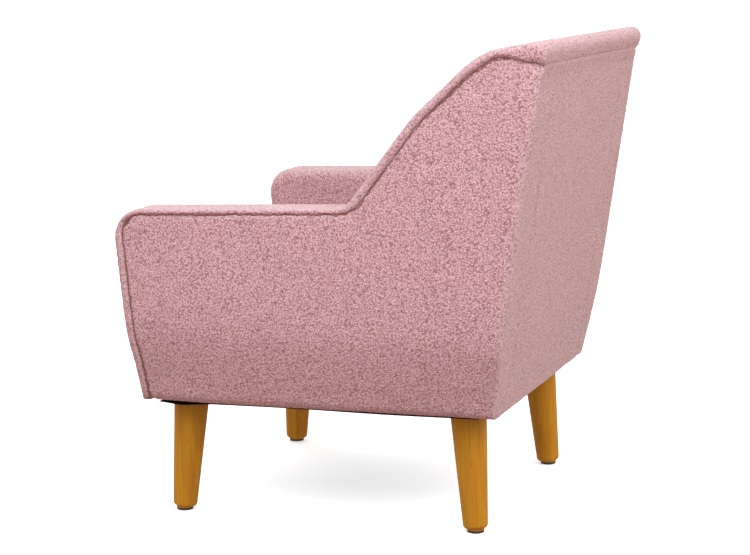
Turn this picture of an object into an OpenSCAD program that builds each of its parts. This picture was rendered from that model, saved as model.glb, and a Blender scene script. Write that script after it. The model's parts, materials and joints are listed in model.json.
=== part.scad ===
// Upholstered armchair with sloping wings, a loose seat cushion and turned splayed legs.
// Millimetres. +Z up, the chair faces -Y, left is the sitter's left (+X).
// The origin is on the floor, below the middle of the chair's overall box. The outline below
// is laid out from the point midway between the front and rear legs, and centred() moves it.

/* [Body outline] */
// Half width of the upholstered body, midway between the front and rear legs
half_width = 332; // [300:1:380]
// Angle by which each side opens towards the front, in degrees
splay_angle = 2.7; // [0:0.1:4]
// Height of the arm's top at its front
arm_height = 524; // [480:1:580]
// How much the arm's top rises towards the back
arm_rise = 9; // [0:1:14]
// Height of the back's top edge
back_height = 788; // [740:1:860]
// Depth from the legs' midpoint to the front of the arms
front_depth = 316; // [290:1:360]
// Depth from the legs' midpoint to the rear of the back's top roll
rear_depth = 403; // [380:1:440]
// Width of one arm, covers included
arm_width = 88; // [84:1:110]
// How far the sides tuck in at the bottom
side_tuck = 43; // [20:1:50]
// Height at which the sides start to tuck in
tuck_start = 314; // [295:1:330]
// Radius of the arm's front top corner
arm_corner_r = 48; // [30:1:60]
// How far the arm's fabric wraps onto the outer side
wrap = 17; // [14:1:22]

/* [Legs] */
// Height of the body's underside above the floor
leg_height = 196; // [150:1:230]
// Leg diameter at the top
leg_top_d = 59; // [50:1:66]
// Leg diameter just above the rounded foot
leg_foot_d = 40; // [36:1:46]
// Radius of the rounding at the foot
leg_round_r = 6; // [2:1:6]
// Outward lean of each leg along X, in mm for each mm of height
leg_lean_x = 0.06; // [0:0.01:0.10]
// Outward lean of each leg along Y, in mm for each mm of height
leg_lean_y = 0.075; // [0:0.005:0.10]
// Distance from the body's middle to each leg's top, along Y
leg_top_y = 237; // [220:1:245]
// Distance from the side surface to each leg's top centre
leg_inset = 116; // [110:1:125]
// Diameter of a leg's glide
glide_d = 27; // [20:1:30]
// Thickness of a leg's glide
glide_t = 4; // [3:0.5:6]
// Diameter of a hanger bolt
bolt_d = 8; // [6:1:10]
// Length of a hanger bolt in the leg
bolt_in_leg = 34; // [25:1:50]
// Length of a hanger bolt above the leg
bolt_in_frame = 30; // [20:1:35]

/* [Frame] */
// Thickness of the base rails
rail_t = 20; // [18:1:22]
// Height of the base rails
rail_h = 82; // [70:1:90]
// Width of the posts and arm rails, across the chair
post_w = 50; // [40:1:52]
// Depth of the posts, seen from the side
post_d = 45; // [35:1:55]
// Height of the arm rail's section
arm_rail_h = 40; // [30:1:50]
// Height of the back's top rail
top_rail_h = 58; // [45:1:70]
// Height of the lumbar rail's section
lumbar_rail_h = 60; // [40:1:80]
// Thickness of the lumbar rail
lumbar_rail_t = 20; // [15:1:30]
// Height of the lumbar rail's underside
lumbar_rail_z = 310; // [308:1:330]
// Thickness of the side boards
side_board_t = 5; // [3:1:6]
// Thickness of the back board
back_board_t = 3; // [2:0.5:5]
// Thickness of the corner blocks
corner_block_h = 45; // [35:1:60]
// Length of a corner block's sides
corner_block_l = 96; // [90:1:110]
// Thickness of the leg plates
leg_plate_t = 2; // [1.5:0.5:2.5]
// Distance of a leg plate's sides inside the edge of the leg's top
leg_plate_inset = 1.5; // [0:0.5:4]

/* [Soft parts] */
// Thickness of the cover fabric
fabric_t = 2; // [1.5:0.1:3]
// Thickness of the wadding on the outer sides
wadding_t = 8; // [4:1:10]
// Thickness of the wadding on the outer back
back_wadding_t = 6; // [4:1:8]
// Foam over the arm's top and front, and along the wing
edge_foam = 20; // [14:1:26]
// Thickness of the front rail's foam
rail_foam_t = 10; // [6:1:12]
// Thickness of the deck's foam
deck_foam_t = 12; // [8:1:14]
// Thickness of the insulator felt on the springs
insulator_t = 2; // [1:0.5:3]
// Thickness of the loose seat cushion
cushion_h = 120; // [90:1:140]
// Gap between the cushion and what is around it
cushion_gap = 2; // [1:0.5:5]
// Radius of the cushion's long edges
cushion_edge_r = 16; // [6:1:30]
// Place of the inside back's face at the seat
seat_back_y = 176; // [150:1:185]
// Thickness of the back at its top
back_top_t = 97; // [88:1:110]

/* [Springs and webbing] */
// Number of sinuous springs
spring_count = 4; // [3:1:6]
// Wire diameter of a spring
spring_wire_d = 3.6; // [3:0.2:4.5]
// Width of a spring's zigzag
spring_width = 44; // [36:1:50]
// Number of half loops in a spring
spring_loops = 14; // [10:2:18]
// Width of a webbing strap
strap_w = 50; // [40:1:60]
// Thickness of a webbing strap
strap_t = 2; // [1.5:0.5:3]

/* [Hidden] */
gap = 0.2;              // clearance between fixed layers
drill = 0.05;           // radial clearance round a fastener
lift_gap = 0.3;         // clearance under the loose cushion
far = 900;              // half size of a half space
beyond = 100;           // moves a panel's free edges clear of the body
arc_n = 6;              // straight steps in one rounded corner

LEFT = 1;
RIGHT = -1;
FRONT = -1;
REAR = 1;
CORNERS = [[LEFT, FRONT], [RIGHT, FRONT], [LEFT, REAR], [RIGHT, REAR]];

// ---- Outline of the side, as [y, z] points, counter-clockwise ----
front_lean = 24;        // the front leans forward by this from its bend to the arm's top
front_bend_z = 268;     // height of the bend in the front
front_foot = 11;        // the front tucks in by this below the bend
rear_bend_z = 307;      // height of the bend in the back
rear_bend_y = 312;      // place of the bend in the back
rear_foot = 26;         // the back tucks in by this below its bend
roll_y = 24;            // the top roll stands this far behind the back's face
roll_z = 66;            // the top roll's height
slope_angle = 52;       // the wing's slope above the arm
slope_run = 106;        // length of the wing's steep stretch along Y
upper_angle = 42.5;     // the wing's slope higher up
upper_run = 79;         // length of that stretch along Y
slope_start = 84;       // where the wing leaves the arm's top
crest_run = 88;         // the crest is this far in front of the roll
crest_drop = 16;        // the crest is this far below the roll's top

front_top = [-front_depth, arm_height];
front_bend = [-front_depth + front_lean, front_bend_z];
front_bottom = [front_bend.x + front_foot, leg_height];
rear_bottom = [rear_bend_y - rear_foot, leg_height];
rear_bend = [rear_bend_y, rear_bend_z];
roll_bottom = [rear_depth - roll_y, back_height - roll_z];
roll_top = [rear_depth, back_height];
wing_low = [slope_start, arm_height + arm_rise];
wing_mid = wing_low + slope_run * [1, tan(slope_angle)];
wing_high = wing_mid + upper_run * [1, tan(upper_angle)];
crest = roll_top - [crest_run, crest_drop];

outline = [front_bottom, rear_bottom, rear_bend, roll_bottom, roll_top, crest,
           wing_high, wing_mid, wing_low, front_top, front_bend];
roll_r = 16;
outline_r = [0, 0, 60, 20, roll_r, 60, 120, 160, 30, arm_corner_r, 60];

// ---- Plane geometry ----
function unit(v) = v / norm(v);
function cross2(a, b) = a.x * b.y - a.y * b.x;
function left_of(d) = [-d.y, d.x];
function item(list, i) = list[(i + len(list)) % len(list)];

// Where the line through p along d meets the line through q along e
function meet(p, d, q, e) = p + d * (cross2(q - p, e) / cross2(d, e));

// Moves each edge of a counter-clockwise outline inwards; edge i starts at point i
function inset(pts, moves) =
    [for (i = [0:len(pts) - 1])
        let (p = pts[i], d0 = unit(p - item(pts, i - 1)), d1 = unit(item(pts, i + 1) - p))
        meet(p + left_of(d0) * item(moves, i - 1), d0, p + left_of(d1) * moves[i], d1)];

// Radii of an inset outline: smaller at an outer corner, larger at an inner one
function inset_r(pts, radii, by) =
    [for (i = [0:len(pts) - 1])
        let (turn = cross2(pts[i] - item(pts, i - 1), item(pts, i + 1) - pts[i]))
        radii[i] == 0 ? 0 : max(turn > 0 ? radii[i] - by : radii[i] + by, 1)];

// Centre of the arc of radius r in corner i
function arc_centre(pts, i, r) =
    let (v = pts[i], a = unit(item(pts, i - 1) - v), b = unit(item(pts, i + 1) - v))
    v + unit(a + b) * r / sin(acos(a * b) / 2);

// Replaces each corner by an arc of its radius
function rounded(pts, radii) =
    [for (i = [0:len(pts) - 1])
        let (v = pts[i], a = unit(item(pts, i - 1) - v), b = unit(item(pts, i + 1) - v),
             r = radii[i], half = acos(a * b) / 2, c = arc_centre(pts, i, r),
             t0 = v + a * r / tan(half) - c, t1 = v + b * r / tan(half) - c,
             from = atan2(t0.y, t0.x), sweep = atan2(cross2(t0, t1), t0 * t1))
        if (r == 0) v else for (k = [0:arc_n]) c + r * [cos(from + sweep * k / arc_n),
                                                       sin(from + sweep * k / arc_n)]];

// The outline moved in at its bottom, its rear, its top roll's rear and everywhere else
function side_shape(bottom, rear, roll, rest) =
    rounded(inset(outline, [bottom, rear, rear, roll, rest, rest, rest, rest, rest, rest, rest]),
            inset_r(outline, outline_r, rest));
function inner_shape(by) = side_shape(by, by, by, by);

// The middle of the outline's depth, from the roundings at its front and at its top roll
middle_y = (arc_centre(outline, 9, arm_corner_r).x - arm_corner_r
            + arc_centre(outline, 4, roll_r).x + roll_r) / 2;

// Place of a line through p and q at a height
function along(p, q, z) = p.x + (q.x - p.x) * (z - p.y) / (q.y - p.y);
function nose_y(z) = z < front_bend.y ? along(front_bottom, front_bend, z) : along(front_bend, front_top, z);
function face_y(z) = z < rear_bend.y ? along(rear_bottom, rear_bend, z) : along(rear_bend, roll_bottom, z);

// The outer side panel ends at a seam that follows the outline at a distance of wrap,
// falls a little behind the crest, and runs out at the rear edge below the top roll.
seam_rear_drop = 32;
seam_rear_z = back_height - seam_rear_drop;
seam_rear = [face_y(seam_rear_z), seam_rear_z];
seam_r = [0, 0, 60, 0, 40, 100, 150, 45, arm_corner_r - wrap, 60];

// Outline of the outer side panel, moved in along the seam and at its free edges
function panel_shape(by, free = 0) =
    let (pts = [front_bottom, rear_bottom, rear_bend, seam_rear, crest,
                wing_high, wing_mid, wing_low, front_top, front_bend],
         seam = wrap + by)
    rounded(inset(pts, [0, free, free, seam, seam, seam, seam, seam, seam, seam]), seam_r);

// ---- Levels and layers ----
frame_z = leg_height + leg_plate_t;                 // underside of the timber frame
rail_top = frame_z + rail_h;
outer_board_x = fabric_t + wadding_t;               // layers, inwards from the side surface
post_x = outer_board_x + side_board_t;
inner_board_x = post_x + post_w;                    // the rails start here as well
arm_foam_x = inner_board_x + side_board_t;
arm_lining_x = arm_width - fabric_t;
rail_inner_x = inner_board_x + rail_t;
frame_edge = fabric_t + edge_foam + gap;            // the timber is this far inside the outline
frame_rear = fabric_t + back_wadding_t + back_board_t + 2;
arm_rail_top = arm_height + arm_rise - frame_edge;
arm_rail_z = arm_height - frame_edge - arm_rail_h;
insulator_z = rail_top + spring_wire_d + gap;
deck_foam_z = insulator_z + insulator_t + gap;
deck_cloth_z = deck_foam_z + deck_foam_t + gap;
deck_top = deck_cloth_z + fabric_t;

// The rear posts and rails stand along this line
back_low = [rear_bottom.x - frame_rear, frame_z];
back_high = [roll_bottom.x - frame_rear, roll_bottom.y];
function back_frame_y(z) = along(back_low, back_high, z);

// The inside back's face leans along this line
inside_low = [seat_back_y, deck_top];
inside_high = [rear_depth - back_top_t, back_height - crest_drop];

front_rail_y = front_bottom.x + fabric_t + rail_foam_t;
rear_rail_y = back_low.x;
outside_seam_drop = 30;
outside_seam_z = back_height - outside_seam_drop;   // the outside back's top seam

frame_shape = side_shape(leg_plate_t, frame_rear, frame_rear, frame_edge);

// ---- Solids that other solids are cut from ----
// Moves what is laid out from the legs' midpoint so that the overall box is centred
module centred() {
    translate([0, -middle_y, 0])
        children();
}

module box(x0, x1, y0, y1, z0, z1) {
    translate([x0, y0, z0])
        cube([x1 - x0, y1 - y0, z1 - z0]);
}

// A [y, z] outline swept across the whole chair
module across(pts) {
    translate([-far, 0, 0])
        rotate([90, 0, 90])
            linear_extrude(height = 2 * far)
                polygon(pts);
}

// Everything behind a line in the [y, z] plane, moved back by shift
module behind(p, q, shift) {
    across([[along(p, q, 0) + shift, 0], [2 * far, 0], [2 * far, far], [along(p, q, far) + shift, far]]);
}

// Everything between two heights
module level(z0, z1) {
    box(-far, far, -far, far, z0, z1);
}

// Puts local geometry on a side: local x = 0 is the outer surface, and -x is inwards
module on_side(side) {
    mirror([side == LEFT ? 0 : 1, 0, 0])
        translate([half_width, 0, 0])
            rotate([0, 0, splay_angle])
                children();
}

// The upright space from depth d0 to depth d1 inside a side's surface
module side_space(side, d0, d1) {
    on_side(side)
        box(-d1, -d0, -far, far, 0, far);
}

// The space from depth d0 to depth d1 where the outer face, or both faces, tuck in below
tuck_low = leg_height - 60;
tuck_low_x = side_tuck * (tuck_start - tuck_low) / (tuck_start - leg_height);
tuck_r = 150;
module tucked_space(side, d0, d1, both = false) {
    inner = both ? tuck_low_x : 0;
    on_side(side)
        translate([0, far, 0])
            rotate([90, 0, 0])
                linear_extrude(height = 2 * far)
                    polygon(rounded([[-d1 - inner, tuck_low], [-d0 - tuck_low_x, tuck_low],
                                     [-d0, tuck_start], [-d0, far], [-d1, far], [-d1, tuck_start]],
                                    [0, 0, tuck_r, 0, 0, both ? tuck_r : 0]));
}

// What lies inside both outer surfaces, moved in by depth
module inside_sides(depth) {
    intersection() {
        tucked_space(LEFT, depth, far);
        tucked_space(RIGHT, depth, far);
        children();
    }
}

// What lies between the upright planes that are depth inside the sides
module between_sides(depth) {
    intersection() {
        side_space(LEFT, depth, far);
        side_space(RIGHT, depth, far);
        children();
    }
}

function side_x(y) = half_width - tan(splay_angle) * y;

// ---- Fasteners ----
// A countersunk wood screw along +Z, with its head's face at z = 0
module wood_screw(d, head_d, l, spare) {
    head_h = (head_d - d) / 2;
    cylinder(d = d + 2 * spare, h = l + spare, $fn = 24);
    cylinder(d1 = head_d + 2 * spare, d2 = d + 2 * spare, h = head_h, $fn = 24);
}

plate_screw_d = 4;
plate_screw_head_d = 7.4;
plate_screw_l = 24;
leg_plate_l = leg_top_d - 2 * leg_plate_inset;
plate_screw_at = leg_plate_l / 2 - 6;
frame_screw_d = 5;
frame_screw_head_d = 9;
frame_screw_l = 40;

// ---- Legs ----
function leg_top(side, end) = [side * (side_x(end * leg_top_y) - leg_inset), end * leg_top_y, leg_height];
function leg_axis(side, end) = unit([-side * leg_lean_x, -end * leg_lean_y, 1]);
function leg_foot(side, end) =
    let (t = leg_top(side, end), a = leg_axis(side, end)) t - a * ((t.z - glide_t) / a.z);

// Turns local +Z onto a leg's axis, at a point, with local +X square to the lean
module along_leg(side, end, at) {
    a = leg_axis(side, end);
    translate(at)
        rotate([0, acos(a.z), atan2(a.y, a.x)])
            rotate([0, 0, 90])
                children();
}

module leg(side, end) {
    over = 12;
    toe = 2;            // straight stretch below the rounding, where the floor plane cuts the leg
    r_top = leg_top_d / 2;
    r_foot = leg_foot_d / 2;
    length = (leg_height - glide_t) / leg_axis(side, end).z;
    flare = (r_top - r_foot) / length;
    color("goldenrod") centred()
        difference() {
            intersection() {
                along_leg(side, end, leg_foot(side, end))
                    rotate_extrude($fn = 96)
                        polygon(concat(
                            [[0, -over], [r_foot - leg_round_r, -over]],
                            [for (k = [0:arc_n])
                                let (u = 90 * k / arc_n)
                                [r_foot - leg_round_r * (1 - sin(u)), toe + leg_round_r * (1 - cos(u))]],
                            [[r_top + flare * over, length + over], [0, length + over]]));
                level(glide_t, leg_height);
            }
            hanger_bolt(side, end, drill);
        }
}

module leg_front_left() leg(LEFT, FRONT);
module leg_front_right() leg(RIGHT, FRONT);
module leg_rear_left() leg(LEFT, REAR);
module leg_rear_right() leg(RIGHT, REAR);

module leg_glides() {
    color("dimgray") centred()
        for (c = CORNERS)
            translate([leg_foot(c[0], c[1]).x, leg_foot(c[0], c[1]).y, 0])
                cylinder(d = glide_d, h = glide_t, $fn = 64);
}

// The bolt stands square to the leg's top, which is cut at the leg's lean
module hanger_bolt(side, end, spare) {
    translate(leg_top(side, end) - [0, 0, bolt_in_leg + spare])
        cylinder(d = bolt_d + 2 * spare, h = bolt_in_leg + bolt_in_frame + 2 * spare, $fn = 48);
}

module hanger_bolts() {
    color("silver") centred()
        for (c = CORNERS)
            hanger_bolt(c[0], c[1], 0);
}

module plate_screws(spare) {
    for (c = CORNERS, sx = [-1, 1], sy = [-1, 1])
        translate(leg_top(c[0], c[1]) + plate_screw_at * [sx, sy, 0])
            wood_screw(plate_screw_d, plate_screw_head_d, plate_screw_l, spare);
}

module leg_plate_screws() {
    color("gainsboro") centred()
        plate_screws(0);
}

module leg_plate(side, end, spare) {
    t = leg_top(side, end);
    h = leg_plate_l / 2 + spare;
    box(t.x - h, t.x + h, t.y - h, t.y + h, leg_height, frame_z);
}

// Bores for the hanger bolts and the leg plates' screws
module leg_bores() {
    for (c = CORNERS)
        hanger_bolt(c[0], c[1], drill);
    plate_screws(drill);
}

module leg_plates() {
    color("lightgray") centred()
        difference() {
            for (c = CORNERS)
                leg_plate(c[0], c[1], 0);
            leg_bores();
        }
}

// ---- Base frame ----
// The inner corner of the rails, as [x, y]
function rail_corner(side, end) =
    let (y = end == FRONT ? front_rail_y + rail_t : rear_rail_y - rail_t)
    [side * (side_x(y) - rail_inner_x / cos(splay_angle)), y];

block_screw_rise = 31;
block_screw_z = frame_z + block_screw_rise;
block_screw_inside = 24;
block_screw_at = corner_block_l * 0.6;

// One screw into the front or rear rail, and one into the side rail, at each corner
module block_screws(spare) {
    for (c = CORNERS)
        let (p = rail_corner(c[0], c[1])) {
            translate([p.x - c[0] * block_screw_at, p.y - c[1] * block_screw_inside, block_screw_z])
                rotate([-c[1] * 90, 0, 0])
                    wood_screw(frame_screw_d, frame_screw_head_d, frame_screw_l, spare);
            translate([p.x - c[0] * block_screw_inside, p.y - c[1] * block_screw_at, block_screw_z])
                rotate([0, c[0] * 90, 0])
                    wood_screw(frame_screw_d, frame_screw_head_d, frame_screw_l, spare);
        }
}

module corner_block_screws() {
    color("silver") centred()
        block_screws(0);
}

post_screw_ys = [front_rail_y + rail_t + 14, rear_rail_y - rail_t - 8];
post_screw_drops = [12, 34];

// Screws from the side rails into the posts
module post_screws(spare) {
    for (side = [LEFT, RIGHT], y = post_screw_ys, drop = post_screw_drops)
        on_side(side)
            translate([-rail_inner_x, y, rail_top - drop])
                rotate([0, 90, 0])
                    wood_screw(frame_screw_d, frame_screw_head_d, frame_screw_l, spare);
}

module frame_screws() {
    color("silver") centred()
        post_screws(0);
}

module front_rail() {
    color("burlywood") centred()
        difference() {
            between_sides(inner_board_x)
                box(-far, far, front_rail_y, front_rail_y + rail_t, frame_z, rail_top);
            leg_bores();
            block_screws(drill);
        }
}

module rear_rail() {
    color("burlywood") centred()
        difference() {
            between_sides(inner_board_x)
                box(-far, far, rear_rail_y - rail_t, rear_rail_y, frame_z, rail_top);
            leg_bores();
            block_screws(drill);
        }
}

module side_rail(side) {
    color("burlywood") centred()
        difference() {
            intersection() {
                side_space(side, inner_board_x, rail_inner_x);
                box(-far, far, front_rail_y + rail_t, rear_rail_y - rail_t, frame_z, rail_top);
            }
            block_screws(drill);
            post_screws(drill);
        }
}

module side_rail_left() side_rail(LEFT);
module side_rail_right() side_rail(RIGHT);

module corner_block(side, end) {
    l = corner_block_l;
    c = rail_corner(side, end);
    x = side * c.x;
    y = end * c.y;
    intersection() {
        mirror([side == LEFT ? 0 : 1, 0, 0])
            mirror([0, end == REAR ? 0 : 1, 0])
                translate([0, 0, frame_z])
                    linear_extrude(height = corner_block_h)
                        polygon([[x + l, y], [x - l, y], [x - l, y - 0.45 * l],
                                 [x - 0.45 * l, y - l], [x + l, y - l]]);
        side_space(side, rail_inner_x, far);
    }
}

module corner_blocks() {
    color("tan") centred()
        difference() {
            for (c = CORNERS)
                corner_block(c[0], c[1]);
            leg_bores();
            block_screws(drill);
        }
}

// ---- Side and back frames ----
// Timber of a side, trimmed to the frame's outline and to the tucked-in side
module side_timber(side) {
    intersection() {
        tucked_space(side, outer_board_x, far);
        side_space(side, post_x, inner_board_x);
        across(frame_shape);
        children();
    }
}

front_post_low = [front_bottom.x + frame_edge, frame_z];
front_post_high = [nose_y(arm_rail_z) + frame_edge, arm_rail_z];

module front_post(side) {
    color("burlywood") centred()
        difference() {
            side_timber(side)
                difference() {
                    behind(front_post_low, front_post_high, 0);
                    behind(front_post_low, front_post_high, post_d);
                    level(arm_rail_z, far);
                }
            post_screws(drill);
        }
}

module front_post_left() front_post(LEFT);
module front_post_right() front_post(RIGHT);

module rear_post(side) {
    color("burlywood") centred()
        difference() {
            side_timber(side)
                difference() {
                    behind(back_low, back_high, -post_d);
                    behind(back_low, back_high, 0);
                }
            post_screws(drill);
        }
}

module rear_post_left() rear_post(LEFT);
module rear_post_right() rear_post(RIGHT);

module arm_rail(side) {
    color("burlywood") centred()
        side_timber(side)
            difference() {
                level(arm_rail_z, arm_rail_top);
                behind(back_low, back_high, -post_d);
            }
}

module arm_rail_left() arm_rail(LEFT);
module arm_rail_right() arm_rail(RIGHT);

module wing_rail(side) {
    color("burlywood") centred()
        side_timber(side)
            difference() {
                level(arm_rail_top, far);
                across(side_shape(leg_plate_t, frame_rear, frame_rear, frame_edge + arm_rail_h));
                behind(back_low, back_high, -post_d);
            }
}

module wing_rail_left() wing_rail(LEFT);
module wing_rail_right() wing_rail(RIGHT);

module outer_board(side) {
    color("peru") centred()
        intersection() {
            side_space(side, outer_board_x, post_x);
            tucked_space(side, outer_board_x, far);
            difference() {
                across(frame_shape);
                level(0, tuck_start);
                outer_back_zone(-gap);
            }
        }
}

module outer_board_left() outer_board(LEFT);
module outer_board_right() outer_board(RIGHT);

module inner_board(side) {
    color("peru") centred()
        intersection() {
            side_space(side, inner_board_x, arm_foam_x);
            difference() {
                across(frame_shape);
                level(0, rail_top);
                behind(back_low, back_high, -post_d);
            }
        }
}

module inner_board_left() inner_board(LEFT);
module inner_board_right() inner_board(RIGHT);

// The stretch of the back's frame that is depth thick, between the posts
module back_timber(depth, z0, z1) {
    color("burlywood") centred()
        between_sides(inner_board_x)
            intersection() {
                across(frame_shape);
                level(z0, z1);
                difference() {
                    behind(back_low, back_high, -post_d);
                    behind(back_low, back_high, depth - post_d);
                }
            }
}

top_rail_z = back_height - frame_edge - top_rail_h;

module top_rail() back_timber(post_d, top_rail_z, far);
module lumbar_rail() back_timber(lumbar_rail_t, lumbar_rail_z, lumbar_rail_z + lumbar_rail_h);

// Upright straps on the front of the lumbar and top rails
strap_xs = [-150, -50, 50, 150];
strap_lap = 10;
module back_webbing() {
    color("saddlebrown") centred()
        intersection() {
            for (x = strap_xs)
                box(x - strap_w / 2, x + strap_w / 2, -far, far,
                    lumbar_rail_z + strap_lap, top_rail_z + top_rail_h - 2 * strap_lap);
            difference() {
                behind(back_low, back_high, -post_d - strap_t);
                behind(back_low, back_high, -post_d);
            }
        }
}

module back_board() {
    color("peru") centred()
        inside_sides(outer_board_x)
            intersection() {
                level(frame_z, roll_bottom.y - gap);
                difference() {
                    behind(back_low, back_high, 0);
                    behind(back_low, back_high, back_board_t);
                }
            }
}

// ---- Seat suspension ----
spring_spread = 400;    // width of the seat that the springs share
spring_xs = [for (i = [0:spring_count - 1]) (i - (spring_count - 1) / 2) * spring_spread / spring_count];
clip_l = 16;
clip_w = 14;
spring_end = 3;         // the springs' ends stop short of the rails' outer faces
spring_y0 = front_rail_y + spring_end;
spring_y1 = rear_rail_y - spring_end;

// Centre line of a zigzag spring, starting and ending at its middle
function spring_path() =
    let (pitch = (spring_y1 - spring_y0 - 2 * clip_l) / (spring_loops + 1), a = spring_width / 2)
    concat([[0, spring_y0]],
           [for (i = [0:spring_loops])
               let (y = spring_y0 + clip_l + pitch * (i + 0.5), s = i % 2 == 0 ? 1 : -1)
               for (k = [-2:2])
                   [s * a * (1 - pow(abs(k) / 3, 3)), y + pitch * k / 6]],
           [[0, spring_y1]]);

// A ribbon of even width round a path in the plane
function ribbon(path, w) =
    let (n = len(path),
         dirs = [for (i = [0:n - 1]) unit(path[min(i + 1, n - 1)] - path[max(i - 1, 0)])])
    concat([for (i = [0:n - 1]) path[i] + left_of(dirs[i]) * w / 2],
           [for (i = [n - 1:-1:0]) path[i] - left_of(dirs[i]) * w / 2]);

module springs(w, z0, z1) {
    for (x = spring_xs)
        translate([x, 0, z0])
            linear_extrude(height = z1 - z0)
                polygon(ribbon(spring_path(), w));
}

module seat_springs() {
    color("slategray") centred()
        springs(spring_wire_d, rail_top, rail_top + spring_wire_d);
}

clip_t = 1.5;
module spring_clips() {
    color("lightsteelblue") centred()
        difference() {
            for (x = spring_xs, y = [spring_y0, spring_y1 - clip_l])
                box(x - clip_w / 2, x + clip_w / 2, y, y + clip_l, rail_top, insulator_z + clip_t);
            springs(spring_wire_d + 2 * drill, 0, rail_top + spring_wire_d + drill);
        }
}

// A layer of the seat, between the arms' covers
module seat_layer(y0, y1, z0, z1) {
    between_sides(arm_width + gap)
        box(-far, far, y0, y1, z0, z1);
}

seat_rear_gap = 2;      // clearance between the deck and the webbing
seat_rear_y = back_frame_y(deck_top) - post_d - strap_t - seat_rear_gap;
clip_room = clip_l + 5; // the felt stops short of the clips
felt_rear_room = 10;    // and leaves this much more at the rear
module spring_insulator() {
    color("darkgray") centred()
        seat_layer(spring_y0 + clip_room, spring_y1 - clip_room - felt_rear_room,
                   insulator_z, insulator_z + insulator_t);
}

module deck_foam() {
    color("lightyellow") centred()
        seat_layer(front_rail_y, seat_rear_y, deck_foam_z, deck_foam_z + deck_foam_t);
}

module deck_cloth() {
    color("dimgray") centred()
        seat_layer(front_rail_y, seat_rear_y, deck_cloth_z, deck_top);
}

// ---- Foam and wadding ----
skin = fabric_t + gap / 2;

// What lies behind a line that is shift behind the back's frame, below the top roll
module outer_back_zone(shift) {
    intersection() {
        behind(back_low, back_high, shift);
        level(0, roll_bottom.y - gap);
    }
}

// The room of the timber frame within the outline, open at the bottom and at the rear
module frame_zone() {
    across(frame_shape);
    box(-far, far, front_bottom.x + frame_edge, far, 0, frame_z + 1);
    outer_back_zone(-1);
}

module arm_foam(side) {
    color("lightyellow") centred()
        difference() {
            intersection() {
                tucked_space(side, outer_board_x, arm_lining_x);
                across(inner_shape(skin));
            }
            intersection() {
                side_space(side, 0, arm_foam_x);
                frame_zone();
            }
            intersection() {
                side_space(side, inner_board_x, far);
                frame_zone();
                behind(back_low, back_high, -post_d - strap_t);
            }
            intersection() {
                side_space(side, inner_board_x, far);
                box(-far, far, front_rail_y, far, 0, rail_top + gap);
            }
        }
}

module arm_foam_left() arm_foam(LEFT);
module arm_foam_right() arm_foam(RIGHT);

tack_t = 3;
tack_w = 6;
module tack_ring(spare) {
    difference() {
        across(panel_shape(1 - spare));
        across(panel_shape(1 + tack_w + spare));
    }
}

module tack_strip(side) {
    color("darkslategray") centred()
        intersection() {
            tucked_space(side, skin, skin + tack_t, true);
            tack_ring(0);
            across(inner_shape(skin));
        }
}

module tack_strip_left() tack_strip(LEFT);
module tack_strip_right() tack_strip(RIGHT);

module side_wadding(side) {
    color("white") centred()
        difference() {
            intersection() {
                tucked_space(side, skin, outer_board_x, true);
                across(inner_shape(skin));
            }
            intersection() {
                tucked_space(side, 0, skin + tack_t + gap, true);
                tack_ring(gap);
            }
        }
}

module side_wadding_left() side_wadding(LEFT);
module side_wadding_right() side_wadding(RIGHT);

module back_foam() {
    color("lightyellow") centred()
        between_sides(arm_width + gap)
            difference() {
                intersection() {
                    across(inner_shape(skin));
                    behind(inside_low, inside_high, skin);
                    level(deck_top + gap, far);
                }
                intersection() {
                    across(frame_shape);
                    behind(back_low, back_high, -post_d - strap_t);
                }
                outer_back_zone(-post_d);
            }
}

module back_wadding() {
    color("white") centred()
        inside_sides(outer_board_x)
            intersection() {
                across(inner_shape(skin));
                level(leg_height, roll_bottom.y - gap);
                behind(back_low, back_high, back_board_t);
            }
}

module front_rail_foam() {
    color("lightyellow") centred()
        between_sides(arm_width + gap)
            intersection() {
                across(inner_shape(skin));
                box(-far, far, -far, front_rail_y, leg_height, deck_cloth_z);
            }
}

// ---- Covers ----
// The skin all round the outline
module round_skin() {
    difference() {
        across(inner_shape(0));
        across(inner_shape(fabric_t));
    }
}

// What the covers leave to the underside and to the outside back
module outside_back_zone(shift) {
    box(-far, far, front_bottom.x + fabric_t, far, 0, leg_height + skin);
    box(-far, far, 0, far, 0, lumbar_rail_z + lumbar_rail_h);
    box(-far, far, rear_bend_y, far, 0, outside_seam_z + shift);
}

module arm_cover(side) {
    color("palevioletred") centred()
        union() {
            difference() {
                intersection() {
                    tucked_space(side, 0, arm_width);
                    round_skin();
                }
                outside_back_zone(0);
            }
            intersection() {
                tucked_space(side, 0, fabric_t, true);
                difference() {
                    across(side_shape(0, skin, skin, 0));
                    across(panel_shape(-gap, -beyond));
                }
            }
            difference() {
                intersection() {
                    side_space(side, arm_lining_x, arm_width);
                    across(inner_shape(0));
                }
                level(0, rail_top + gap);
                intersection() {
                    across(frame_shape);
                    behind(back_low, back_high, -post_d - strap_t);
                }
                outer_back_zone(-1);
                box(-far, far, rear_bend_y, far, 0, outside_seam_z);
            }
        }
}

module arm_cover_left() arm_cover(LEFT);
module arm_cover_right() arm_cover(RIGHT);

module side_cover(side) {
    color("palevioletred") centred()
        intersection() {
            tucked_space(side, 0, fabric_t, true);
            across(panel_shape(0, skin));
        }
}

module side_cover_left() side_cover(LEFT);
module side_cover_right() side_cover(RIGHT);

module inside_back_cover() {
    color("palevioletred") centred()
        between_sides(arm_width + gap)
            difference() {
                intersection() {
                    across(inner_shape(0));
                    behind(inside_low, inside_high, 0);
                    level(deck_top + gap, far);
                }
                intersection() {
                    across(inner_shape(fabric_t));
                    behind(inside_low, inside_high, fabric_t);
                }
                outer_back_zone(-post_d);
                box(-far, far, rear_bend_y, far, 0, outside_seam_z);
            }
}

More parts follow.
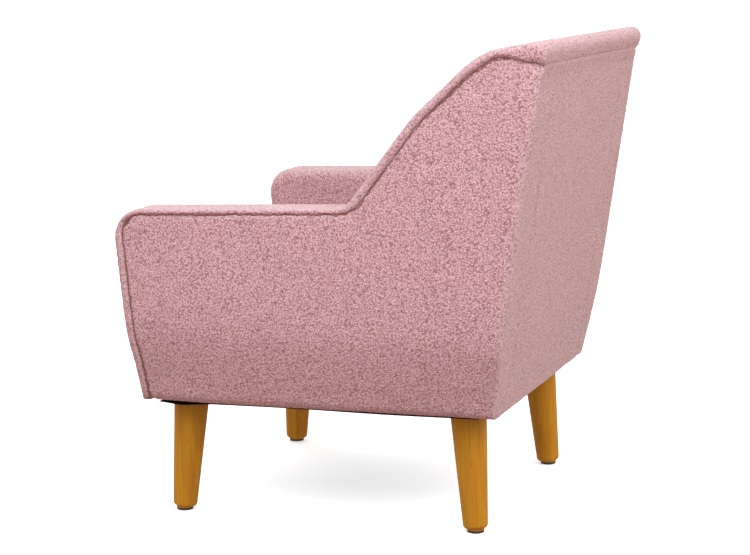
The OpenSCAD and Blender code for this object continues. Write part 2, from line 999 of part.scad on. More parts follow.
module outside_back_cover() {
    color("rosybrown") centred()
        inside_sides(0)
            difference() {
                intersection() {
                    round_skin();
                    behind(back_low, back_high, 0);
                    level(0, outside_seam_z - gap);
                }
                box(-far, far, -far, rear_bottom.x - fabric_t, 0, leg_height + skin);
            }
}

module front_rail_cover() {
    color("palevioletred") centred()
        between_sides(arm_width + gap)
            difference() {
                intersection() {
                    round_skin();
                    box(-far, far, -far, 0, leg_height, deck_top);
                }
                box(-far, far, front_bottom.x + fabric_t, far, 0, leg_height + skin);
            }
}

// ---- Underside ----
dust_t = 1;
dust_edge = 6;
module dust_cover() {
    color("black") centred()
        between_sides(side_tuck + dust_edge)
            difference() {
                box(-far, far, front_bottom.x + dust_edge, rear_bottom.x - dust_edge,
                    leg_height, leg_height + dust_t);
                for (c = CORNERS)
                    leg_plate(c[0], c[1], 1);
            }
}

staple_l = 11;
staple_t = 0.6;
staple_step = 52;
staple_w = 1;
staple_edge = 3;        // distance of the staples from the rails' outer faces at the front
staple_rear_edge = 9;   // and at the rear
module dust_cover_staples() {
    color("silver") centred()
        for (i = [-3:3], end = [FRONT, REAR])
            let (y = end == FRONT ? front_rail_y + staple_edge : rear_rail_y - staple_rear_edge)
            box(i * staple_step - staple_l / 2, i * staple_step + staple_l / 2, y, y + staple_w,
                leg_height - staple_t, leg_height);
}

// ---- Loose seat cushion ----
cushion_z = deck_top + lift_gap;
cushion_recess = 4;     // the cushion's front stays this far inside the arms' fronts
cushion_front_y = nose_y(deck_top + cushion_h * 0.7) + cushion_recess;

// The cushion's section, moved in by by: its rear face leans with the inside back
function cushion_shape(by) =
    let (z0 = cushion_z + by, z1 = cushion_z + cushion_h - by, g = cushion_gap + lift_gap + by,
         y0 = cushion_front_y + by)
    rounded([[y0, z0], [along(inside_low, inside_high, z0) - g, z0],
             [along(inside_low, inside_high, z1) - g, z1], [y0, z1]],
            [for (i = [0:3]) max(cushion_edge_r - by, 1)]);

module cushion(by) {
    between_sides(arm_width + cushion_gap + by)
        across(cushion_shape(by));
}

zipper_l = 320;
zipper_h = 14;
module zipper_space(spare) {
    mid = cushion_z + cushion_h / 2;
    box(-zipper_l / 2 - spare, zipper_l / 2 + spare, 0, far, mid - zipper_h / 2 - spare,
        mid + zipper_h / 2 + spare);
}

module cushion_cover() {
    color("lightpink") centred()
        difference() {
            cushion(0);
            cushion(fabric_t);
            zipper_space(gap);
        }
}

module cushion_zipper() {
    color("mediumvioletred") centred()
        intersection() {
            difference() {
                cushion(0);
                cushion(fabric_t);
            }
            zipper_space(0);
        }
}

module cushion_foam() {
    color("lightyellow") centred()
        cushion(fabric_t + gap);
}

leg_front_left();
leg_front_right();
leg_rear_left();
leg_rear_right();
leg_glides();
hanger_bolts();
leg_plates();
leg_plate_screws();
front_rail();
rear_rail();
side_rail_left();
side_rail_right();
corner_blocks();
corner_block_screws();
frame_screws();
front_post_left();
front_post_right();
rear_post_left();
rear_post_right();
arm_rail_left();
arm_rail_right();
wing_rail_left();
wing_rail_right();
outer_board_left();
outer_board_right();
inner_board_left();
inner_board_right();
top_rail();
lumbar_rail();
back_webbing();
back_board();
seat_springs();
spring_clips();
spring_insulator();
deck_foam();
deck_cloth();
arm_foam_left();
arm_foam_right();
side_wadding_left();
side_wadding_right();
back_foam();
back_wadding();
front_rail_foam();
arm_cover_left();
arm_cover_right();
side_cover_left();
side_cover_right();
inside_back_cover();
outside_back_cover();
front_rail_cover();
tack_strip_left();
tack_strip_right();
dust_cover();
dust_cover_staples();
cushion_foam();
cushion_cover();
cushion_zipper();
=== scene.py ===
import json
import math

import bpy
import numpy as np
from mathutils import Matrix, Vector


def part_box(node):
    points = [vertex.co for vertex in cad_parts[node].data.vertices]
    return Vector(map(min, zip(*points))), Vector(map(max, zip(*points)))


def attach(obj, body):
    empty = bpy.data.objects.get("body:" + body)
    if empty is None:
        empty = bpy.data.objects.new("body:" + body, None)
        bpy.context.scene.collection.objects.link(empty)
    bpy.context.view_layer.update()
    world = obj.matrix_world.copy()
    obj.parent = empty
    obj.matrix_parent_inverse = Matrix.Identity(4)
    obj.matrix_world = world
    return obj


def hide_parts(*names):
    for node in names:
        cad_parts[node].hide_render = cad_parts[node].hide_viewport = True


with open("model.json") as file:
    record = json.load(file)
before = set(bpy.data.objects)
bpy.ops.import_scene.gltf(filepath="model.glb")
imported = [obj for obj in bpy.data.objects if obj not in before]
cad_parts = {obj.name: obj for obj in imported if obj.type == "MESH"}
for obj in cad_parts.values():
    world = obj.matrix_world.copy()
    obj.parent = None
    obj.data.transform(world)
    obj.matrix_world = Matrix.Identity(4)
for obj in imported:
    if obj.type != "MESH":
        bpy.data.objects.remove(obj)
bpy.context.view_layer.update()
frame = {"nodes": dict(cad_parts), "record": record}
MM = 0.001

# ---------------------------------------------------------------- camera and studio
VIEW_AZIMUTH = math.radians(110.82)
VIEW_ELEVATION = math.radians(9.45)
VIEW_ROLL = math.radians(-1.03)
VIEW_FROM = Vector((2.9173, 1.0731, 0.8835))
LENS_MM = 88.6
SENSOR_MM = 36
FLOOR_REACH = 90        # metres; the floor has to reach the horizon
CLIP_END = 400


def make_camera():
    """The camera stands behind the chair, on the sitter's left, a little above the arms."""
    sin_a, cos_a = math.sin(VIEW_AZIMUTH), math.cos(VIEW_AZIMUTH)
    sin_e, cos_e = math.sin(VIEW_ELEVATION), math.cos(VIEW_ELEVATION)
    back = Vector((sin_a * cos_e, -cos_a * cos_e, sin_e))
    level = Vector((cos_a, sin_a, 0))
    upright = back.cross(level)
    right = level * math.cos(VIEW_ROLL) + upright * math.sin(VIEW_ROLL)
    up = upright * math.cos(VIEW_ROLL) - level * math.sin(VIEW_ROLL)
    data = bpy.data.cameras.new("camera")
    data.lens = LENS_MM
    data.sensor_width = SENSOR_MM
    data.clip_end = CLIP_END
    camera = bpy.data.objects.new("camera", data)
    bpy.context.scene.collection.objects.link(camera)
    camera.matrix_world = Matrix((right, up, back)).transposed().to_4x4()
    camera.location = VIEW_FROM
    bpy.context.scene.camera = camera


def area_light(name, place, aim, side, watts, colour):
    """A square light at a place, turned towards the point aim."""
    data = bpy.data.lights.new(name, "AREA")
    data.shape = "RECTANGLE"
    data.size = data.size_y = side
    data.energy = watts
    data.color = colour
    light = bpy.data.objects.new(name, data)
    bpy.context.scene.collection.objects.link(light)
    light.location = place
    light.rotation_euler = (Vector(aim) - Vector(place)).to_track_quat("-Z", "Y").to_euler()


SKY = (1.0, 0.965, 1.0)
COOL_SKY = (0.84, 0.95, 1.0)
GROUND = (0.46, 0.33, 0.27)


def make_studio():
    """A pale floor, a white surround that is brown below the horizon, and four large soft lights.
    The floor shines a little and isn't reflected, so that it stays as white as the surround."""
    scene = bpy.context.scene
    scene.view_settings.view_transform = "Standard"
    world = bpy.data.worlds.new("studio")
    world.use_nodes = True
    tree = world.node_tree
    place = tree.nodes.new("ShaderNodeTexCoord")
    split = tree.nodes.new("ShaderNodeSeparateXYZ")
    blend = tree.nodes.new("ShaderNodeValToRGB")
    tree.links.new(place.outputs["Generated"], split.inputs["Vector"])
    tree.links.new(split.outputs["Z"], blend.inputs["Fac"])
    tree.links.new(blend.outputs["Color"], tree.nodes["Background"].inputs["Color"])
    blend.color_ramp.elements[0].position = 0.0
    blend.color_ramp.elements[0].color = (*GROUND, 1)
    blend.color_ramp.elements[1].position = 0.001
    blend.color_ramp.elements[1].color = (1, 1, 1, 1)
    tree.nodes["Background"].inputs["Strength"].default_value = 1.3
    scene.world = world
    middle = (0, 0, 0.4)
    area_light("top_light", (0.6, 0.5, 3.2), middle, 2.6, 12, SKY)
    area_light("side_light", (1.5, 0.3, 1.75), (0.33, 0.15, 0.7), 1.0, 23, COOL_SKY)
    area_light("back_light", (0.5, 2.2, 1.75), (0, 0, 0.6), 1.6, 27, SKY)
    area_light("front_light", (-2.4, -2.8, 2.0), middle, 2.0, 24, SKY)
    mesh = bpy.data.meshes.new("floor")
    corners = [(sx * FLOOR_REACH, sy * FLOOR_REACH, 0) for sx, sy in ((-1, -1), (1, -1), (1, 1), (-1, 1))]
    mesh.from_pydata(corners, [], [(0, 1, 2, 3)])
    floor = bpy.data.objects.new("floor", mesh)
    scene.collection.objects.link(floor)
    floor.location.z = -0.5 * MM
    paint = plain_material("floor_paint", (0.93, 0.93, 0.93), 0.9)
    shader = paint.node_tree.nodes["Principled BSDF"]
    shader.inputs["Emission Color"].default_value = (1, 1, 1, 1)
    shader.inputs["Emission Strength"].default_value = 0.42
    floor.data.materials.append(paint)
    floor.visible_diffuse = False
    floor.visible_glossy = False


# ---------------------------------------------------------------- materials
def plain_material(name, colour, roughness):
    material = bpy.data.materials.new(name)
    material.use_nodes = True
    shader = material.node_tree.nodes["Principled BSDF"]
    shader.inputs["Base Color"].default_value = (*colour, 1)
    shader.inputs["Roughness"].default_value = roughness
    return material


class Nodes:
    """A short way to add and join shader nodes."""

    def __init__(self, name):
        self.material = bpy.data.materials.new(name)
        self.material.use_nodes = True
        self.tree = self.material.node_tree
        self.shader = self.tree.nodes["Principled BSDF"]
        coordinates = self.tree.nodes.new("ShaderNodeTexCoord")
        self.place = coordinates.outputs["Object"]
        self.facing = coordinates.outputs["Normal"]

    def join(self, source, target):
        if isinstance(source, (int, float)):
            target.default_value = source
        elif isinstance(source, tuple):
            target.default_value = (*source, 1) if len(target.default_value) == 4 else source
        else:
            self.tree.links.new(source, target)

    def stretched(self, scale):
        node = self.tree.nodes.new("ShaderNodeMapping")
        self.join(self.place, node.inputs["Vector"])
        node.inputs["Scale"].default_value = scale
        return node.outputs["Vector"]

    def noise(self, scale, detail, roughness=0.5, distortion=0.0, at=None):
        node = self.tree.nodes.new("ShaderNodeTexNoise")
        self.join(at or self.place, node.inputs["Vector"])
        node.inputs["Scale"].default_value = scale
        node.inputs["Detail"].default_value = detail
        node.inputs["Roughness"].default_value = roughness
        node.inputs["Distortion"].default_value = distortion
        return node.outputs["Fac"]

    def cells(self, scale):
        node = self.tree.nodes.new("ShaderNodeTexVoronoi")
        self.join(self.place, node.inputs["Vector"])
        node.inputs["Scale"].default_value = scale
        return node.outputs["Distance"]

    def ramp(self, value, low, high, to_low=0.0, to_high=1.0):
        node = self.tree.nodes.new("ShaderNodeMapRange")
        self.join(value, node.inputs["Value"])
        node.inputs["From Min"].default_value = low
        node.inputs["From Max"].default_value = high
        node.inputs["To Min"].default_value = to_low
        node.inputs["To Max"].default_value = to_high
        return node.outputs["Result"]

    def math(self, operation, a, b):
        node = self.tree.nodes.new("ShaderNodeMath")
        node.operation = operation
        self.join(a, node.inputs[0])
        self.join(b, node.inputs[1])
        return node.outputs[0]

    def mix(self, factor, a, b):
        node = self.tree.nodes.new("ShaderNodeMix")
        node.data_type = "RGBA"
        self.join(factor, node.inputs[0])
        self.join(a, node.inputs[6])
        self.join(b, node.inputs[7])
        return node.outputs[2]

    def bump(self, height, distance, strength):
        node = self.tree.nodes.new("ShaderNodeBump")
        self.join(height, node.inputs["Height"])
        node.inputs["Distance"].default_value = distance
        node.inputs["Strength"].default_value = strength
        self.join(node.outputs["Normal"], self.shader.inputs["Normal"])

    def colour(self, value):
        self.join(value, self.shader.inputs["Base Color"])

    def set(self, **values):
        for name, value in values.items():
            self.shader.inputs[name.replace("_", " ")].default_value = value


PILE_TIP = (0.87, 0.55, 0.60)
PILE_MIDDLE = (0.60, 0.335, 0.36)
PILE_CREVICE_SHADE = (0.31, 0.13, 0.135)
LIT_PALE_TIP = (0.80, 0.545, 0.56)
LIT_PALE_CREVICE_SHADE = (0.36, 0.205, 0.205)


def boucle(name, fully_lit_at):
    """Looped pile: nubs 3 mm wide, painted lighter on top and darker in between, as painted highlight on the
    loops and painted shade in the crevices, over a slow random mottle.
    Faces that look up or back are painted paler and more even, as painted light, fully so where that part of
    their normal reaches fully_lit_at."""
    n = Nodes(name)
    warp = n.noise(60, 2)
    nub = n.cells(330)
    strand = n.noise(640, 2, 0.6, 0.8)
    height = n.math("SUBTRACT", n.ramp(strand, 0.3, 0.7, 0, 0.8), n.math("MULTIPLY", nub, 1.1))
    # Tone from the nubs' height is painted shade between the nubs and painted highlight on their tops; the
    # slow noise adds a random mottle.
    tone = n.ramp(n.math("ADD", height, n.math("MULTIPLY", warp, 0.16)), -0.52, 0.5)
    rich = n.mix(n.ramp(tone, 0.5, 1.0), n.mix(n.ramp(tone, 0.0, 0.5), PILE_CREVICE_SHADE, PILE_MIDDLE), PILE_TIP)
    pale = n.mix(tone, LIT_PALE_CREVICE_SHADE, LIT_PALE_TIP)
    # Painted light: faces whose normal looks up or back get a paler, more even copy of the pile's colour,
    # standing in for the stronger light on them.
    split = n.tree.nodes.new("ShaderNodeSeparateXYZ")
    n.join(n.facing, split.inputs["Vector"])
    look = n.math("MAXIMUM", split.outputs["Y"], split.outputs["Z"])
    n.colour(n.mix(n.ramp(look, 0.1, fully_lit_at), rich, pale))
    n.bump(height, 2.2 * MM, 0.8)
    n.set(Roughness=0.95, Sheen_Weight=0.25, Sheen_Roughness=0.5, Specular_IOR_Level=0.12)
    n.shader.inputs["Sheen Tint"].default_value = (1.0, 0.86, 0.88, 1)
    return n.material


def oak(name):
    """Golden lacquered oak: grain along the leg, short dark pores, slow bands of tone."""
    n = Nodes(name)
    band = n.noise(1, 3, 0.55, 0.8, n.stretched((38, 38, 2.4)))
    grain = n.noise(1, 4, 0.6, 0.3, n.stretched((260, 260, 9)))
    pore = n.noise(1, 2, 0.5, 0.0, n.stretched((700, 700, 30)))
    base = n.mix(n.ramp(band, 0.3, 0.72), (0.50, 0.23, 0.010), (0.36, 0.148, 0.006))
    fine = n.mix(n.ramp(grain, 0.35, 0.75, 0.0, 0.55), base, (0.26, 0.095, 0.008))
    n.colour(n.mix(n.ramp(pore, 0.62, 0.76, 0.0, 0.55), fine, (0.13, 0.045, 0.006)))
    n.bump(pore, -0.25 * MM, 0.5)
    n.set(Roughness=0.5, Specular_IOR_Level=0.2)
    return n.material


def pine(name, light, dark):
    n = Nodes(name)
    grain = n.noise(1, 4, 0.6, 0.4, n.stretched((60, 8, 60)))
    n.colour(n.mix(n.ramp(grain, 0.35, 0.7), light, dark))
    n.bump(grain, 0.3 * MM, 0.4)
    n.set(Roughness=0.75)
    return n.material


def metal(name, colour, roughness):
    n = Nodes(name)
    streak = n.noise(1, 2, 0.5, 0.0, n.stretched((400, 60, 400)))
    n.colour(n.mix(n.ramp(streak, 0.3, 0.7), tuple(0.8 * c for c in colour), colour))
    n.bump(streak, 0.05 * MM, 0.4)
    n.set(Metallic=1.0, Roughness=roughness)
    return n.material


def cloth(name, light, dark, scale, depth):
    """Plain cloth: crossed threads with a little fleck."""
    n = Nodes(name)
    warp = n.noise(1, 1, 0.5, 0.0, n.stretched((scale, scale / 12, scale)))
    weft = n.noise(1, 1, 0.5, 0.0, n.stretched((scale / 12, scale, scale)))
    weave = n.math("MULTIPLY", n.math("ADD", warp, weft), 0.5)
    n.colour(n.mix(n.ramp(weave, 0.38, 0.62), dark, light))
    n.bump(weave, depth, 0.7)
    n.set(Roughness=0.95, Specular_IOR_Level=0.15)
    return n.material


def foam(name, light, dark):
    n = Nodes(name)
    cell = n.cells(420)
    n.colour(n.mix(n.ramp(cell, 0.0, 0.6), dark, light))
    n.bump(cell, 0.8 * MM, 0.6)
    n.set(Roughness=1.0, Specular_IOR_Level=0.1)
    return n.material


def plastic(name, colour):
    n = Nodes(name)
    speck = n.noise(900, 2)
    n.colour(n.mix(n.ramp(speck, 0.3, 0.7), tuple(0.75 * c for c in colour), colour))
    n.bump(speck, 0.1 * MM, 0.4)
    n.set(Roughness=0.55)
    return n.material


MATERIALS = {
    # fabric and fabric_back differ only in where the painted-light pale tone takes over; the back's copy is
    # painted paler over more of its faces.
    "fabric": boucle("fabric", 0.95),
    "fabric_back": boucle("fabric_back", 0.7),
    "oak": oak("oak"),
    "glide": plastic("glide", (0.03, 0.025, 0.02)),
    "zinc_steel": metal("zinc_steel", (0.70, 0.70, 0.68), 0.35),
    "spring_steel": metal("spring_steel", (0.30, 0.30, 0.31), 0.4),
    "webbing": cloth("webbing", (0.30, 0.17, 0.09), (0.15, 0.08, 0.04), 900, 0.6 * MM),
    "felt": foam("felt", (0.24, 0.23, 0.21), (0.12, 0.11, 0.10)),
    # seam: a dark red cord; its darkness is partly painted shade of the seam's groove.
    "seam": cloth("seam", (0.33, 0.12, 0.115), (0.15, 0.045, 0.04), 900, 0.4 * MM),
    "dust_cloth": cloth("dust_cloth", (0.018, 0.018, 0.018), (0.006, 0.006, 0.006), 1200, 0.3 * MM),
    "deck_cloth": cloth("deck_cloth", (0.52, 0.30, 0.33), (0.38, 0.20, 0.22), 1500, 0.3 * MM),
    "zipper": cloth("zipper", (0.45, 0.20, 0.24), (0.25, 0.09, 0.11), 1400, 0.4 * MM),
    "foam": foam("foam", (0.86, 0.80, 0.62), (0.66, 0.58, 0.40)),
    "wadding": foam("wadding", (0.88, 0.88, 0.86), (0.72, 0.72, 0.70)),
    "plywood": pine("plywood", (0.55, 0.36, 0.19), (0.42, 0.25, 0.12)),
    "pine": pine("pine", (0.68, 0.49, 0.27), (0.53, 0.34, 0.16)),
}


def paint_cad_nodes():
    """Each CAD node that stays gets its slot's material."""
    for row in frame["record"]["subparts"]:
        node = frame["nodes"][row["node"]]
        node.data.materials.clear()
        node.data.materials.append(MATERIALS[row["material_slot"]])
        node.data.set_sharp_from_angle(angle=math.radians(28))


# ---------------------------------------------------------------- the body's form
# Sizes shared with the frame. Points of the side view are (y, z) in millimetres with y from the
# point midway between the legs, which lies LEGS_TO_ORIGIN in front of the frame's origin.
LEGS_TO_ORIGIN = 41.52
MIDDLE_Y = LEGS_TO_ORIGIN * MM
HALF_WIDTH = 332 * MM
SPLAY = math.radians(2.7)
ARM_WIDTH = 88 * MM
SIDE_TUCK = 43 * MM
TUCK_START = 314 * MM
WRAP = 17 * MM
TOP_WRAP = 8 * MM
CREST_WRAP = 6 * MM
BODY_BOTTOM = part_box("side_cover_left")[0].z
DECK_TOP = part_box("deck_cloth")[1].z
OUTSIDE_SEAM_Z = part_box("outside_back_cover")[1].z - 14 * MM

# The outline of the upholstery as (y, z, corner radius), counter-clockwise from the front's lower
# corner. It follows the covers, so it is up to 9 mm off the frame's own outline.
OUTLINE = [(-293, 196, 0), (301, 196, 0), (321, 307, 60), (386, 722, 20), (404, 782, 16), (306, 765, 80),
           (269, 741, 120), (190, 668.7, 160), (78, 525, 30), (-313, 516, 46), (-293, 262, 40)]
SEAM_TOP = (388, 747)


def side_point(y, z):
    return (y - LEGS_TO_ORIGIN) * MM, z * MM


# Where the side's seam is pulled in: the front of the arm and the seam's upper end
POCKETS = [side_point(-283, 498), side_point(379, 745)]
INSIDE_LOW = (176 * MM - MIDDLE_Y, DECK_TOP)
INSIDE_HIGH = (306 * MM - MIDDLE_Y, 772 * MM)
BACK_FRAME_LOW = (273 * MM - MIDDLE_Y, 198 * MM)
BACK_FRAME_HIGH = (366 * MM - MIDDLE_Y, 722 * MM)


def outline_points(corners):
    return [side_point(y, z) for y, z, *_ in corners]


def inset(points, moves):
    """Moves each edge of a counter-clockwise outline inwards; edge i starts at point i."""
    moved = []
    p = [Vector(q) for q in points]
    for i, v in enumerate(p):
        d0 = (v - p[i - 1]).normalized()
        d1 = (p[(i + 1) % len(p)] - v).normalized()
        a = v + Vector((-d0.y, d0.x)) * moves[i - 1]
        b = v + Vector((-d1.y, d1.x)) * moves[i]
        cross = d0.x * d1.y - d0.y * d1.x
        along = ((b.x - a.x) * d1.y - (b.y - a.y) * d1.x) / cross
        moved.append(a + d0 * along)
    return moved


ARC_STEPS = 6


def rounded(points, radii):
    """Replaces each corner by an arc of its radius."""
    p = [Vector(q) for q in points]
    curve = []
    for i, v in enumerate(p):
        if radii[i] == 0:
            curve.append(v)
            continue
        a = (p[i - 1] - v).normalized()
        b = (p[(i + 1) % len(p)] - v).normalized()
        half = math.acos(max(-1, min(1, a.dot(b)))) / 2
        centre = v + (a + b).normalized() * radii[i] / math.sin(half)
        t0 = v + a * radii[i] / math.tan(half) - centre
        t1 = v + b * radii[i] / math.tan(half) - centre
        start = math.atan2(t0.y, t0.x)
        sweep = math.atan2(t0.x * t1.y - t0.y * t1.x, t0.dot(t1))
        for k in range(ARC_STEPS + 1):
            angle = start + sweep * k / ARC_STEPS
            curve.append(centre + Vector((math.cos(angle), math.sin(angle))) * radii[i])
    return curve


def side_curve():
    return rounded(outline_points(OUTLINE), [r * MM for _, _, r in OUTLINE])


def panel_curve():
    """The outer side panel's seam; its rear and lower edges are moved out of the way."""
    free = -60 * MM
    corners = OUTLINE[:3] + [SEAM_TOP] + OUTLINE[5:]
    moves = [free, free, free, CREST_WRAP, WRAP, WRAP, WRAP, TOP_WRAP, WRAP, WRAP]
    radii = [r * MM for r in (0, 0, 0, 0, 40, 100, 150, 45, 31, 60)]
    return rounded(inset(outline_points(corners), moves), radii)


def polygon_distance(curve, y, z):
    """Signed distance from a closed curve, negative inside."""
    best = np.full(np.broadcast(y, z).shape, 1e9)
    inside = np.zeros(best.shape, bool)
    for a, b in zip(curve, curve[1:] + curve[:1]):
        ey, ez = b[0] - a[0], b[1] - a[1]
        length = ey * ey + ez * ez
        if length < 1e-14:
            continue
        wy, wz = y - a[0], z - a[1]
        t = np.clip((wy * ey + wz * ez) / length, 0, 1)
        best = np.minimum(best, (wy - ey * t) ** 2 + (wz - ez * t) ** 2)
        crosses = (a[1] > z) != (b[1] > z)
        if ez != 0:
            inside ^= crosses & (wy < ey * wz / ez)
    return np.where(inside, -1, 1) * np.sqrt(best)


def round_max(a, b, r):
    """Where two solids meet, with the edge rounded by r."""
    return np.minimum(np.maximum(a, b), -r) + np.hypot(np.maximum(a + r, 0), np.maximum(b + r, 0))


def line_at(low, high, z):
    """The y of a line through two points of the side view, at a height."""
    return low[0] + (high[0] - low[0]) * (z - low[1]) / (high[1] - low[1])


def side_x(y):
    return HALF_WIDTH - math.tan(SPLAY) * (y + MIDDLE_Y)


def tuck(z):
    """How far the side is drawn in below the height where its tuck starts."""
    q = (TUCK_START - z) * SIDE_TUCK / (TUCK_START - BODY_BOTTOM)
    return (q + np.sqrt(q * q + (11 * MM) ** 2)) / 2


# Waves in the padding: their direction and number along x, y and z, and their phase
WAVES = [(11, 7, 4, 0.3), (-6, 13, 9, 1.9), (17, -5, 12, 4.0),
         (4, 21, -15, 2.2), (-27, 9, 18, 5.1), (33, 25, 11, 0.9)]


def unevenness(p):
    """Slow, soft waves in the padding, about a millimetre high."""
    total = 0.0
    for kx, ky, kz, phase in WAVES:
        wave = np.sin(1.7 * (kx * p[:, 0] + ky * p[:, 1] + kz * p[:, 2]) + phase)
        total = total + wave / (3 + math.hypot(kx, ky, kz) / 6)
    return total * 0.9 * MM


class Fields:
    """Signed distances, negative inside, from the planes and outlines that shape the body. On a
    grid, flat gives y and z without the x axis, since the outlines don't depend on it."""

    def __init__(self, x, y, z, flat=None):
        self.x, self.y, self.z = x, y, z
        flat_y, flat_z = flat or (y, z)
        self.outline = polygon_distance(SIDE_CURVE, flat_y, flat_z)
        self.panel = polygon_distance(PANEL_CURVE, flat_y, flat_z)
        if flat:
            self.outline, self.panel = self.outline[None], self.panel[None]
        self.side_flat = (np.abs(x) - side_x(y)) * math.cos(SPLAY)
        self.side = self.side_flat + tuck(z)
        self.between = self.side_flat + ARM_WIDTH
        self.behind_inside = y - line_at(INSIDE_LOW, INSIDE_HIGH, z)
        self.behind_frame = y - line_at(BACK_FRAME_LOW, BACK_FRAME_HIGH, z)


FRONT_LOW, FRONT_BEND, FRONT_HIGH = (outline_points(OUTLINE)[k] for k in (0, -1, -2))
BEND_Z = FRONT_BEND[1]
SIDE_CURVE = side_curve()
PANEL_CURVE = panel_curve()


def body_form(f):
    """The whole body: negative in the padding, positive outside and in the seat's space."""
    proud = 5 * MM * np.clip(f.panel / (10 * MM) + 0.3, 0, 1)
    crown = 4 * MM * np.clip(-f.panel / 0.12, 0, 1) ** 0.7
    side = f.side + 3 * MM - crown - proud
    recess = 7 * MM - 22 * MM * np.clip(f.between / (6 * MM) + 0.5, 0, 1)
    front = np.where(f.z < BEND_Z, line_at(FRONT_LOW, FRONT_BEND, f.z), line_at(FRONT_BEND, FRONT_HIGH, f.z))
    outline = np.maximum(f.outline, front + recess - f.y)
    radius = 15 * MM - 3 * MM * np.clip((f.y - 0.2) / 0.05, 0, 1)
    outer = round_max(outline, side, radius)
    across = 1 - np.clip(f.x / 0.24, -1, 1) ** 4
    pad = 10 * MM * across * np.clip((f.z - DECK_TOP) / 0.2, 0, 1) * np.clip((0.79 - f.z) / 0.12, 0, 1)
    swell = 3 * MM * np.clip((0.56 - f.z) / 0.1, 0, 1) * np.clip((f.z - 0.28) / 0.08, 0, 1)
    hollow = round_max(f.between - swell, f.behind_inside + pad, 14 * MM)
    hollow = np.maximum(hollow, DECK_TOP - 2 * MM - f.z)
    return round_max(outer, -hollow, 20 * MM)


def surface(field, origin, step):
    """Surface nets: one point in each cell that the surface crosses, and two triangles for each
    crossed edge."""
    inside = field < 0
    cells = tuple(n - 1 for n in field.shape)
    total = np.zeros((int(np.prod(cells)), 3), np.float32)
    count = np.zeros(len(total), np.float32)
    rings = []
    for axis in range(3):
        lead = [slice(None)] * 3
        tail = [slice(None)] * 3
        lead[axis], tail[axis] = slice(0, -1), slice(1, None)
        crossed = inside[tuple(lead)] != inside[tuple(tail)]
        index = np.argwhere(crossed)
        v0, v1 = field[tuple(lead)][crossed], field[tuple(tail)][crossed]
        place = index.astype(np.float32)
        place[:, axis] += v0 / (v0 - v1)
        others = [a for a in range(3) if a != axis]
        ring = []
        valid = np.ones(len(index), bool)
        for i, j in ((1, 1), (0, 1), (0, 0), (1, 0)):
            cell = index.copy()
            cell[:, others[0]] -= i
            cell[:, others[1]] -= j
            good = ((cell >= 0) & (cell < cells)).all(1)
            flat = np.ravel_multi_index(np.where(good[:, None], cell, 0).T, cells)
            for k in range(3):
                total[:, k] += np.bincount(flat[good], place[good, k], len(total))
            count += np.bincount(flat[good], minlength=len(total))
            ring.append(flat)
            valid &= good
        ring = np.stack(ring, 1)
        flip = (v0 < 0) == (axis == 1)
        ring[flip] = ring[flip][:, ::-1]
        rings.append(ring[valid])
    rings = np.concatenate(rings)
    used = np.flatnonzero(count)
    number = np.full(len(total), -1)
    number[used] = np.arange(len(used))
    rings = number[rings]
    points = total[used] / count[used, None] * step + np.array(origin)
    triangles = np.concatenate((rings[:, [0, 1, 2]], rings[:, [0, 2, 3]]))
    return points, triangles


def point_normals(points, triangles):
    a, b, c = (points[triangles[:, k]] for k in range(3))
    face = np.cross(b - a, c - a)
    total = np.zeros_like(points)
    for k in range(3):
        for axis in range(3):
            total[:, axis] += np.bincount(triangles[:, k], face[:, axis], len(points))
    return total / np.maximum(np.linalg.norm(total, axis=1), 1e-12)[:, None]


def compact(points, triangles, extra):
    used, number = np.unique(triangles, return_inverse=True)
    return points[used], number.reshape(-1, 3), extra[used]


def clip(points, triangles, extra, value):
    """Keeps what has a negative value, cutting triangles where the value crosses zero."""
    value = np.where(np.abs(value) < 1e-7, -1e-7, value)
    keep = value < 0
    kept = keep[triangles].sum(1)
    whole = triangles[kept == 3]
    cut = triangles[(kept == 1) | (kept == 2)]
    single = np.where(keep[cut].sum(1) == 1, 1, 0)
    odd = keep[cut] == single[:, None].astype(bool)
    turn = odd.argmax(1)
    cut = cut[np.arange(len(cut))[:, None], (turn[:, None] + np.arange(3)) % 3]
    edges = np.concatenate((cut[:, [0, 1]], cut[:, [0, 2]]))
    pairs, where = np.unique(np.sort(edges, 1), axis=0, return_inverse=True)
    where = where.reshape(-1)
    a, b = pairs.T
    t = (value[a] / (value[a] - value[b]))[:, None]
    new = len(points) + where
    p, q = new[:len(cut)], new[len(cut):]
    one = single.astype(bool)
    faces = [whole, np.stack((cut[one, 0], p[one], q[one]), 1),
             np.stack((p[~one], cut[~one, 1], cut[~one, 2]), 1),
             np.stack((p[~one], cut[~one, 2], q[~one]), 1)]
    points = np.concatenate((points, points[a] + (points[b] - points[a]) * t))
    extra = np.concatenate((extra, extra[a] + (extra[b] - extra[a]) * t))
    return compact(points, np.concatenate(faces), extra)


FLIP = np.array((-1, 1, 1))


def flipped(points, triangles, normals):
    """The same piece of surface on the other side of x = 0."""
    return points * FLIP, triangles[:, ::-1], normals * FLIP


def mirrored(points, triangles, normals):
    """Adds the other half across x = 0; points on that plane are shared."""
    middle = points[:, 0] < 0.05 * MM
    points, normals = points.copy(), normals.copy()
    points[middle, 0] = normals[middle, 0] = 0
    other = np.where(middle, np.arange(len(points)), len(points) + np.cumsum(~middle) - 1)
    return (np.concatenate((points, points[~middle] * FLIP)),
            np.concatenate((triangles, other[triangles][:, ::-1])),
            np.concatenate((normals, normals[~middle] * FLIP)))


